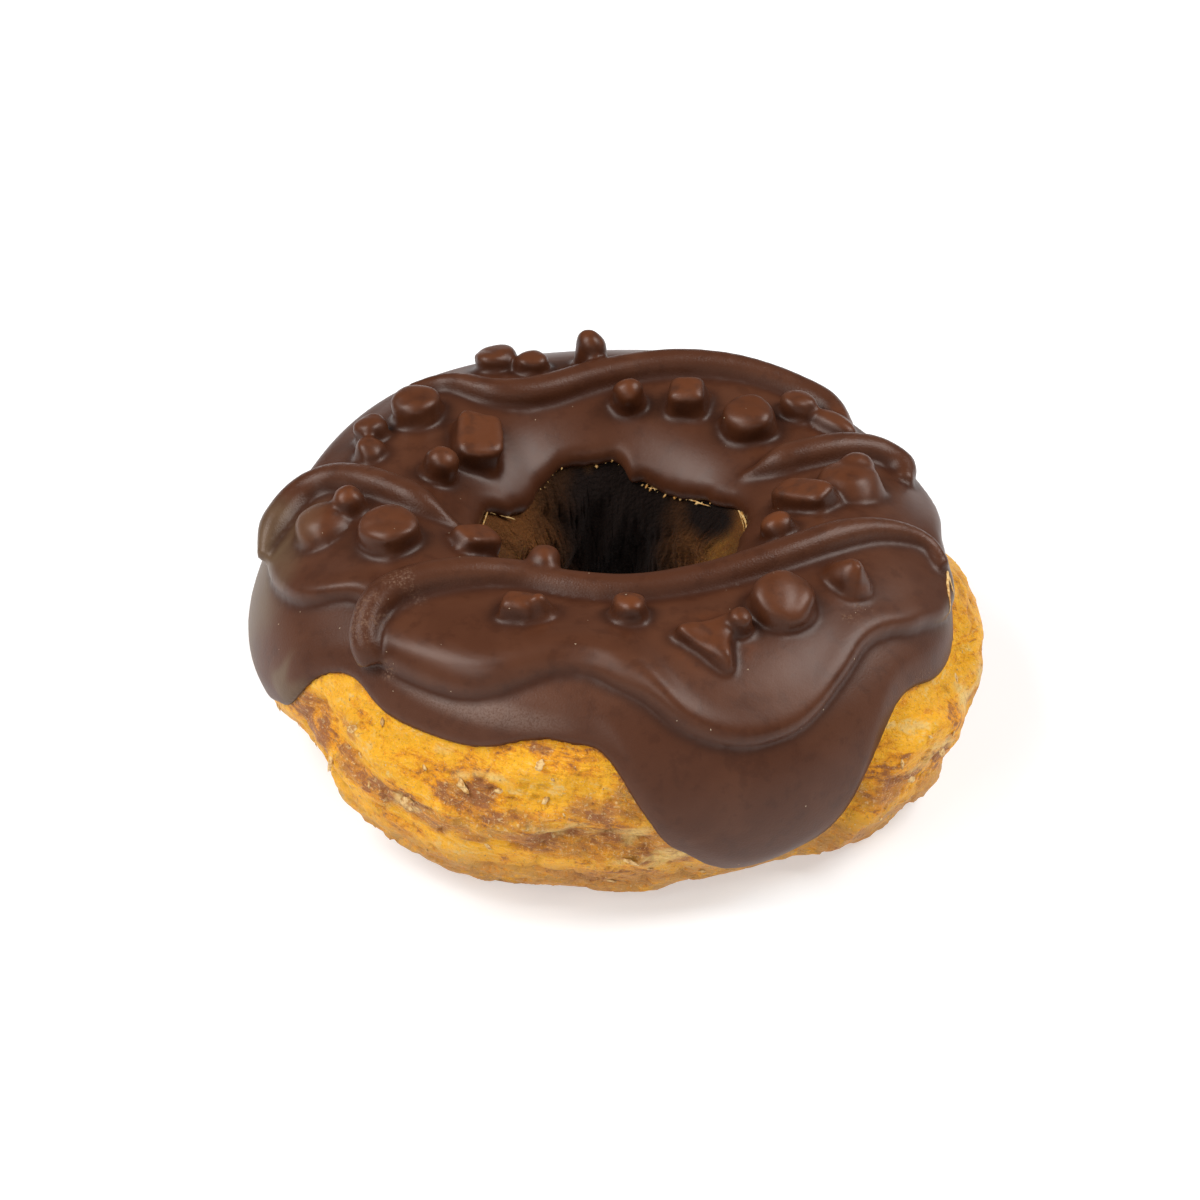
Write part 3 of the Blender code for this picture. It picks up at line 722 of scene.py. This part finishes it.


# The coat's finish
# Satin chocolate with a broad soft sheen and faint bloom. The lumps are warmer and lighter, partly their own
# colour and partly painted glow. Painted shade darkens the hollows at the feet of lumps and ridges, and the
# lumps' steep sides. The thin layer has scuffs, a painted sheen below the step, and a fine grain where it
# touched the mould.
KEPT_SHARE = 0.70              # share of the faces left once the side that lies on the dough is thinned
HOLLOW_DEPTH = 0.016 * MM      # how far below its neighbours a point of the darkest hollow lies
FOOT_SPREAD = 3                # steps along the edges that the hollows' shade spreads
CHOCOLATE = (0.066, 0.0205, 0.0085, 1.0)
BLOOM = (0.090, 0.031, 0.014, 1.0)
DEEP_CHOCOLATE = (0.034, 0.0090, 0.0035, 1.0)
# Partly the lumps' own warmer colour, partly painted glow of light through them.
WARM_GLOWING_CHOCOLATE = (0.135, 0.038, 0.0110, 1.0)
OLIVE_TONE_AND_REFLECTION = (0.135, 0.092, 0.052, 1.0)
SCUFF = (0.26, 0.150, 0.090, 1.0)
PAINTED_SHEEN = (0.22, 0.150, 0.120, 1.0)
SCUFF_PATCHES = ((221.0, 60.0, 2.5, 11.0), (219.8, 76.0, 4.0, 4.0), (229.0, 50.0, 2.0, 4.0),
                 (322.7, 61.0, 2.5, 3.0), (324.0, 24.0, 6.0, 3.0), (340.0, 20.0, 8.0, 3.0))
# Where a sheen is painted on the thin layer below the step.
PAINTED_SHEEN_PATCHES = ((247.0, 47.0, 13.0, 5.0),)
# Patches of the thin layer at the sides made greyish olive: partly its own tone, partly painted grazing
# reflection.
OLIVE_AND_REFLECTION_PATCHES = ((188.0, 26.0, 10.0, 34.0), (209.0, 12.0, 2.5, 16.0), (352.0, 34.0, 14.0, 9.0))


def nearness(places, reach):
    """A function of a point: the strength of the nearest place of the list, 0 beyond reach times its size."""
    tree = kdtree.KDTree(len(places))
    for index, (middle, size, strength) in enumerate(places):
        tree.insert(middle, index)
    tree.balance()

    def near(point):
        best = 0.0
        for middle, index, distance in tree.find_n(point, 3):
            best = max(best, places[index][2] * ease((reach - distance / places[index][1]) / 0.5))
        return best
    return near


def chocolate():
    """Moulded chocolate with bloom, warm lumps, a duller thin layer, scuffs, grain, painted shade and sheen.
    """
    finish, shader, place = new_finish("chocolate", {
        "IOR": 1.45, "Specular IOR Level": 0.33, "Specular Tint": (1.0, 0.90, 0.84, 1.0)})
    on_lump = kept(place, "lump")
    on_thin = kept(place, "thin")
    on_ridge = kept(place, "ridge")
    foot = kept(place, "foot")
    side = kept(place, "side")
    bloom = place.cloud(9.0 * MM, 3.0, 0.55, 0.4)
    haze = place.cloud(2.2 * MM, 4.0, 0.6)
    grain = place.cloud(0.24 * MM, 2.0, 0.6)
    melt = place.cloud(1.7 * MM, 2.0, 0.5)
    worn = kept(place, "scuff") * place.cloud(0.33 * MM, 4.0, 0.7).band(0.48, 0.66) * haze.band(0.36, 0.56)
    colour = (bloom.band(0.42, 0.66) * 0.6).mix(CHOCOLATE, BLOOM)
    colour = (haze.band(0.50, 0.34) * 0.30).mix(colour, DEEP_CHOCOLATE)
    # Warm, lighter chocolate on the lumps: partly their own colour, partly painted glow.
    colour = (on_lump * melt.band(0.24, 0.56) * 0.8).mix(colour, WARM_GLOWING_CHOCOLATE)
    # Painted shade: the lumps' steep sides are darkened towards deep chocolate.
    colour = (side * 0.7).mix(colour, DEEP_CHOCOLATE)
    # Greyish olive on the sides' thin layer: partly its own tone, partly painted grazing reflection.
    colour = (kept(place, "film") * (0.35 + 0.5 * haze)).mix(colour, OLIVE_TONE_AND_REFLECTION)
    # Painted sheen: a pale grainy patch on the thin layer below the foot of the step.
    colour = (kept(place, "painted_sheen") * grain.band(0.10, 0.70) * 0.45).mix(colour, PAINTED_SHEEN)
    # Painted shade: the hollows at the feet of the lumps and ridges are darkened towards deep chocolate.
    colour = (foot * 0.95).mix(colour, DEEP_CHOCOLATE)
    colour = (worn * 0.38).mix(colour, SCUFF)
    relief_grain = grain * (0.22 + 0.60 * on_thin + 1.1 * on_ridge) + 0.6 * haze
    relief_grain = relief_grain + 0.6 * worn + 1.6 * on_lump * melt
    wear(shader, {
        "Base Color": colour,
        "Roughness": 0.33 + 0.08 * haze + 0.05 * foot + 0.25 * worn + 0.04 * on_thin,
        "Normal": bumps(place, relief_grain, 0.30, 0.12 * MM)})
    return finish


def foot_shade(shape):
    """How hollow the surface is at each vertex, from 0 to 1, spread a little over its neighbours."""
    hollows = []
    for vertex in shape.verts:
        total = sum((edge.other_vert(vertex).co for edge in vertex.link_edges), Vector())
        middle = total / len(vertex.link_edges)
        hollows.append(ease((middle - vertex.co).dot(vertex.normal) / HOLLOW_DEPTH))
    for _ in range(FOOT_SPREAD):
        hollows = [sum(hollows[edge.other_vert(vertex).index] for edge in vertex.link_edges)
                   / len(vertex.link_edges) for vertex in shape.verts]
    return hollows


coat = bmesh.new()
coat.from_mesh(coat_cast)
coat.normal_update()
coat.verts.index_update()
lump_kept = coat.verts.layers.float.new("lump")
thin_kept = coat.verts.layers.float.new("thin")
ridge_kept = coat.verts.layers.float.new("ridge")
shaded_foot_kept = coat.verts.layers.float.new("foot")
shaded_side_kept = coat.verts.layers.float.new("side")
scuff_kept = coat.verts.layers.float.new("scuff")
olive_and_reflection_kept = coat.verts.layers.float.new("film")
sheen_kept = coat.verts.layers.float.new("painted_sheen")
near_lump = nearness(lump_middles, 1.25)
near_ridge = nearness(ridge_middles, 1.4)
deform = coat.verts.layers.deform.new("hidden")
for vertex, foot in zip(coat.verts, foot_shade(coat)):
    bearing, slope = surface_angles(vertex.co)
    turn = math.radians(bearing)
    core = Vector((RING_RADIUS * math.cos(turn), RING_RADIUS * math.sin(turn), WIDEST_LEVEL))
    inside = vertex.normal.dot((vertex.co - core).normalized()) < -0.5
    stray = noise.noise_vector(vertex.co / (4.0 * MM)) * 5.0
    vertex[lump_kept] = near_lump(vertex.co)
    vertex[ridge_kept] = near_ridge(vertex.co)
    vertex[thin_kept] = ease((swings(bearing, STEP_LEVEL, STEP_SWINGS) - slope) / 3.0)
    # How hollow the coat is here, used to paint shade into the hollows.
    vertex[shaded_foot_kept] = foot
    # How steep the surface is beside a lump, used to paint shade down the lumps' sides.
    steepness = 0.90 - vertex.normal.dot(outward(bearing, slope))
    vertex[shaded_side_kept] = ease(steepness / 0.6) * ease(2.5 * near_lump(vertex.co))
    vertex[scuff_kept] = patched(bearing + stray.x, slope + stray.y, SCUFF_PATCHES)
    # The painted sheen, on the thin layer only.
    vertex[sheen_kept] = patched(bearing, slope, PAINTED_SHEEN_PATCHES) * vertex[thin_kept]
    vertex[olive_and_reflection_kept] = patched(bearing + stray.y, slope + stray.x, OLIVE_AND_REFLECTION_PATCHES)
    vertex[deform][0] = 1.0 if inside else 0.0
frosting = finished("frosting_coat", coat, chocolate())
frosting.vertex_groups.new(name="hidden")
thinned = frosting.modifiers.new("thinned", "DECIMATE")
thinned.vertex_group = "hidden"
thinned.ratio = KEPT_SHARE
frosting.data = bpy.data.meshes.new_from_object(frosting.evaluated_get(bpy.context.evaluated_depsgraph_get()))
frosting.modifiers.clear()
frosting.vertex_groups.clear()
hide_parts("frosting")


# The golden film
# Thin slivers of dough that the frosting tore up, drawn out along the edge of the hole and down the right
# side. They are stuck to the coat's edge and to its thin layer.
FILMS = (  # thickness in millimetres, then bearings, slopes and heights above the coat's inner side
    (0.16, ((161.0, 138.5), (164.0, 134.5), (170.0, 131.0), (177.0, 130.0), (184.0, 132.5), (187.0, 138.0))),
    (0.16, ((152.0, 147.0), (156.0, 143.5), (160.0, 139.5))),
    (0.15, ((15.0, 135.5), (9.0, 134.5), (2.0, 134.0), (356.0, 134.5), (352.0, 136.5))),
    (0.14, ((34.0, 143.0), (40.0, 144.5), (47.0, 145.5), (53.0, 146.5))),
    (0.14, ((60.0, 147.0), (66.0, 146.0), (72.0, 146.5))),
    (0.24, ((346.8, 50.2), (345.9, 47.0), (346.2, 43.5), (343.0, 41.5), (340.0, 37.7), (338.8, 33.3))),
    (0.15, ((347.5, 45.0), (344.5, 41.0), (342.5, 37.0))),
)
FILM_RAISE = 0.42 * MM
FILM_SPACING = 0.35 * MM
TORN_DARK = (0.42, 0.19, 0.040, 1.0)
TORN_PALE = (0.72, 0.48, 0.20, 1.0)


def thread(name, places, sizes):
    """A round thread through the given places, as thick as the given sizes."""
    line = bpy.data.curves.new(name, "CURVE")
    line.dimensions = "3D"
    line.bevel_depth = 1.0
    line.bevel_resolution = 3
    line.use_fill_caps = True
    path = line.splines.new("POLY")
    path.points.add(len(places) - 1)
    for point, place, size in zip(path.points, places, sizes):
        point.co = (*place, 1.0)
        point.radius = size
    holder = bpy.data.objects.new(name, line)
    bpy.context.scene.collection.objects.link(holder)
    mesh = bpy.data.meshes.new_from_object(holder.evaluated_get(bpy.context.evaluated_depsgraph_get()))
    bpy.data.objects.remove(holder)
    return mesh


def torn_dough():
    """Straw-coloured to golden torn dough with pale grains."""
    finish, shader, place = new_finish("torn_dough", {"IOR": 1.42, "Specular IOR Level": 0.35})
    grains = place.cloud(0.5 * MM, 3.0, 0.6)
    wear(shader, {
        "Base Color": grains.band(0.36, 0.60).mix(TORN_DARK, TORN_PALE),
        "Roughness": 0.35 + 0.3 * grains,
        "Normal": bumps(place, grains, 0.6, 0.2 * MM)})
    return finish


torn_finish = torn_dough()
film_shape = bmesh.new()
for index, (thickness, points) in enumerate(FILMS):
    spots = route(points, FILM_SPACING)
    places = []
    sizes = []
    for step, spot in enumerate(spots):
        share = step / (len(spots) - 1)
        ragged = noise.noise((step * 0.55, index * 5.0, 0.0))
        height = layer_lift(spot.x, spot.y) if spot.y < 90.0 else FILM_RAISE
        places.append(skin(spot.x, spot.y + 0.5 * ragged, height + 0.08 * MM * ragged))
        sizes.append(thickness * MM * max(0.35 * ragged + 0.8 * math.sin(math.pi * share), 0.1))
    film_shape.from_mesh(thread("film", places, sizes))
bmesh.ops.remove_doubles(film_shape, verts=film_shape.verts, dist=0.00001)
bmesh.ops.recalc_face_normals(film_shape, faces=film_shape.faces)
finished("golden_film", film_shape, torn_finish)


# The torn scraps
# Flat flakes and grains of dough that cling to it: a few large ones on the bare side, a torn fringe along the
# edge of the hole, and the rest strewn over the dough on every side.
PLACED_SCRAPS = (  # bearing, slope, length and width in millimetres, turn, tilt
    (245.8, 15.0, 2.7, 1.1, 160.0, 14.0), (237.6, -2.5, 1.7, 1.9, 30.0, 8.0),
    (258.5, 30.0, 1.3, 0.9, 70.0, 20.0), (226.0, 19.0, 1.1, 0.8, 40.0, 15.0),
    (272.2, -16.8, 1.9, 0.8, 175.0, 12.0), (278.0, -15.5, 1.7, 0.7, 165.0, 18.0),
    (221.0, -5.0, 2.9, 0.7, 110.0, 30.0), (320.0, -12.0, 1.9, 0.9, 150.0, 15.0),
    (326.0, -7.0, 1.7, 0.9, 130.0, 18.0), (334.0, 13.0, 1.2, 0.8, 60.0, 20.0),
    (215.5, 28.0, 1.6, 0.8, 20.0, 15.0), (250.6, -12.0, 1.4, 0.6, 165.0, 20.0),
)
STREWN_SCRAPS = 150
FRINGE = ((138.0, 142.0), (112.0, 133.0), (86.0, 100.0), (34.0, 78.0))  # bearings where the hole is torn
FRINGE_SPACING = 2.4
LOWEST_SCRAP = -40.0
STREWN_OUTLINES = 20           # where the numbers of the strewn scraps' outlines start
FRINGE_OUTLINES = 179          # where those of the fringe start
SCATTER_SEED = 11


def scrap(shape, seed, place, up, sizes, turn, tilt, fineness=1):
    """Add one flat ragged flake of the given length, width and thickness, leaning up at one end."""
    added = bmesh.ops.create_icosphere(shape, subdivisions=fineness, radius=0.5)["verts"]
    for vertex in added:
        ragged = noise.noise_vector(vertex.co * 2.6 + Vector((seed * 4.1, 0.0, 0.0)))
        vertex.co += 0.30 * ragged
    side = up.cross(Vector((0.3, 0.2, 1.0))).normalized()
    square = Matrix((side, up.cross(side), up)).transposed().to_4x4()
    lean = Matrix.Rotation(math.radians(turn), 4, "Z") @ Matrix.Rotation(math.radians(-tilt), 4, "Y")
    stretch = Matrix.Diagonal((*sizes, 1.0))
    bmesh.ops.transform(shape, matrix=Matrix.Translation(place) @ square @ lean @ stretch, verts=added)


draw = random.Random(SCATTER_SEED)
scraps = bmesh.new()
for seed, (bearing, slope, length, width, turn, tilt) in enumerate(PLACED_SCRAPS):
    lift = relief(bearing, slope) + layering(grain_place(bearing, slope)) + 0.10 * MM
    scrap(scraps, seed, skin(bearing, slope, lift), outward(bearing, slope),
          (length * MM, width * MM, 0.16 * MM), turn, tilt, 3)
for seed in range(STREWN_SCRAPS):
    bearing = draw.uniform(0.0, 360.0)
    slope = draw.uniform(LOWEST_SCRAP, swings(bearing, DRIP_LEVEL, DRIPS) - 3.0)
    size = 0.20 + 0.65 * draw.random() ** 3
    lift = bareness(bearing, slope) * (relief(bearing, slope) + layering(grain_place(bearing, slope)))
    if slope > LOWEST_SCRAP:
        sizes = (1.9 * size * MM, size * MM, 0.3 * size * MM)
        scrap(scraps, STREWN_OUTLINES + seed, skin(bearing, slope, lift + 0.04 * MM), outward(bearing, slope),
              sizes, draw.uniform(0.0, 180.0), draw.uniform(0.0, 25.0))
for start, end in FRINGE:
    for step in range(int(abs(end - start) / FRINGE_SPACING)):
        bearing = min(start, end) + FRINGE_SPACING * (step + draw.random())
        slope = swings(bearing, HOLE_LEVEL, HOLE_SWINGS + HOLE_TEARS) + draw.uniform(-1.5, 1.0)
        size = 0.10 + 0.40 * draw.random() ** 2
        sizes = (1.8 * size * MM, size * MM, 0.5 * size * MM)
        place = skin(bearing, slope, draw.uniform(0.0, 0.7) * MM)
        scrap(scraps, FRINGE_OUTLINES + step, place, outward(bearing, slope),
              sizes, draw.uniform(60.0, 120.0), draw.uniform(0.0, 50.0))
finished("dough_scraps", scraps, torn_finish)


# The crumbs on the frosting
# Tiny pale grains of dust and dough caught on the chocolate, thickest along the foot of the thick layer.
PLACED_CRUMBS = ((214.3, 50.2), (227.8, 53.1), (228.5, 47.3), (229.7, 50.7), (322.7, 61.2), (320.5, 62.5),
                 (322.4, 22.2), (336.1, 20.2), (300.0, 34.0), (305.0, 37.5), (314.0, 49.0), (280.0, 47.0),
                 (285.0, 42.0), (262.0, 76.0), (246.0, 84.0), (298.0, 88.0), (309.0, 86.0), (222.0, 68.0))
STREWN_CRUMBS = 40
CRUMB_OUTLINES = 300           # where the numbers of the crumbs' outlines start
TOP_CRUMB = 120.0
DUST = (0.40, 0.29, 0.19, 1.0)
crumbs = bmesh.new()
spots = list(PLACED_CRUMBS)
for _ in range(STREWN_CRUMBS):
    bearing = draw.uniform(0.0, 360.0)
    low = swings(bearing, DRIP_LEVEL, DRIPS) + 8.0
    spots.append((bearing, draw.uniform(low, TOP_CRUMB)))
for seed, (bearing, slope) in enumerate(spots):
    size = (0.08 + 0.10 * draw.random() ** 2) * MM
    hit, place, normal, _ = frosting.ray_cast(skin(bearing, slope, 12.0 * MM), -outward(bearing, slope))
    if hit:
        sizes = (1.6 * size, size, 0.5 * size)
        scrap(crumbs, CRUMB_OUTLINES + seed, place, normal, sizes, draw.uniform(0.0, 180.0), 10.0)
dust_finish, _, _ = new_finish("pale_dust", {"Base Color": DUST, "Roughness": 0.6})
finished("frosting_crumbs", crumbs, dust_finish)


# The table and the studio light
# A plain pale light table between two softboxes, left and right, with a small weak one at the front left and
# a broad weak fill in front.
TABLE_SIZE = 3.0
TABLE_GREY = (0.62, 0.625, 0.63, 1.0)
TABLE_GLOW = 0.45
BOX_SIZE = 0.43
BOX_POWER = 5.6
ROOM_WHITE = (1.0, 0.99, 0.975, 1.0)
ROOM_LIGHT = 0.15
table_shape = bmesh.new()
bmesh.ops.create_grid(table_shape, x_segments=1, y_segments=1, size=TABLE_SIZE)
table_finish, _, _ = new_finish("pale_table", {
    "Base Color": TABLE_GREY, "Roughness": 0.85, "Specular IOR Level": 0.2,
    "Emission Color": (1.0, 1.0, 1.0, 1.0), "Emission Strength": TABLE_GLOW})
table_mesh = bpy.data.meshes.new("table_top")
table_shape.to_mesh(table_mesh)
table_shape.free()
table_mesh.materials.append(table_finish)
table_top = bpy.data.objects.new("table_top", table_mesh)
bpy.context.scene.collection.objects.link(table_top)


def softbox(name, place, width, height, power):
    """A rectangular area light aimed at the doughnut."""
    lamp = bpy.data.lights.new(name, "AREA")
    lamp.shape = "RECTANGLE"
    lamp.size = width
    lamp.size_y = height
    lamp.energy = power
    light = bpy.data.objects.new(name, lamp)
    light.location = place
    light.rotation_euler = (-Vector(place)).to_track_quat("-Z", "Y").to_euler()
    light.visible_camera = False
    bpy.context.scene.collection.objects.link(light)


softbox("right_box", (0.56, 0.06, 0.63), BOX_SIZE, BOX_SIZE, BOX_POWER)
softbox("left_box", (-0.52, -0.06, 0.68), BOX_SIZE, BOX_SIZE, BOX_POWER)
softbox("left_fill", (-0.43, -0.49, 0.55), 0.34, 0.34, 1.6)
softbox("front_fill", (0.0, -1.20, 0.45), 1.60, 0.90, 3.0)

room = bpy.data.worlds.new("room")
room.use_nodes = True
room.node_tree.nodes["Background"].inputs["Color"].default_value = ROOM_WHITE
room.node_tree.nodes["Background"].inputs["Strength"].default_value = ROOM_LIGHT
bpy.context.scene.world = room
bpy.context.scene.view_settings.view_transform = "Standard"


# The camera
# A long lens from the front at a little over 36 degrees above the table.
CAMERA_RISE = math.radians(36.2)
CAMERA_DISTANCE = 0.450
CAMERA_AIM = Vector((-1.7 * MM, 0.0, 15.3 * MM))
CAMERA_LENS = 109.6
FILM_WIDTH = 36.0
camera = bpy.data.objects.new("camera", bpy.data.cameras.new("camera"))
camera.data.lens = CAMERA_LENS
camera.data.sensor_width = FILM_WIDTH
backwards = Vector((0.0, -math.cos(CAMERA_RISE), math.sin(CAMERA_RISE)))
camera.location = CAMERA_AIM + backwards * CAMERA_DISTANCE
camera.rotation_euler = backwards.to_track_quat("Z", "Y").to_euler()
bpy.context.scene.collection.objects.link(camera)
bpy.context.scene.camera = camera
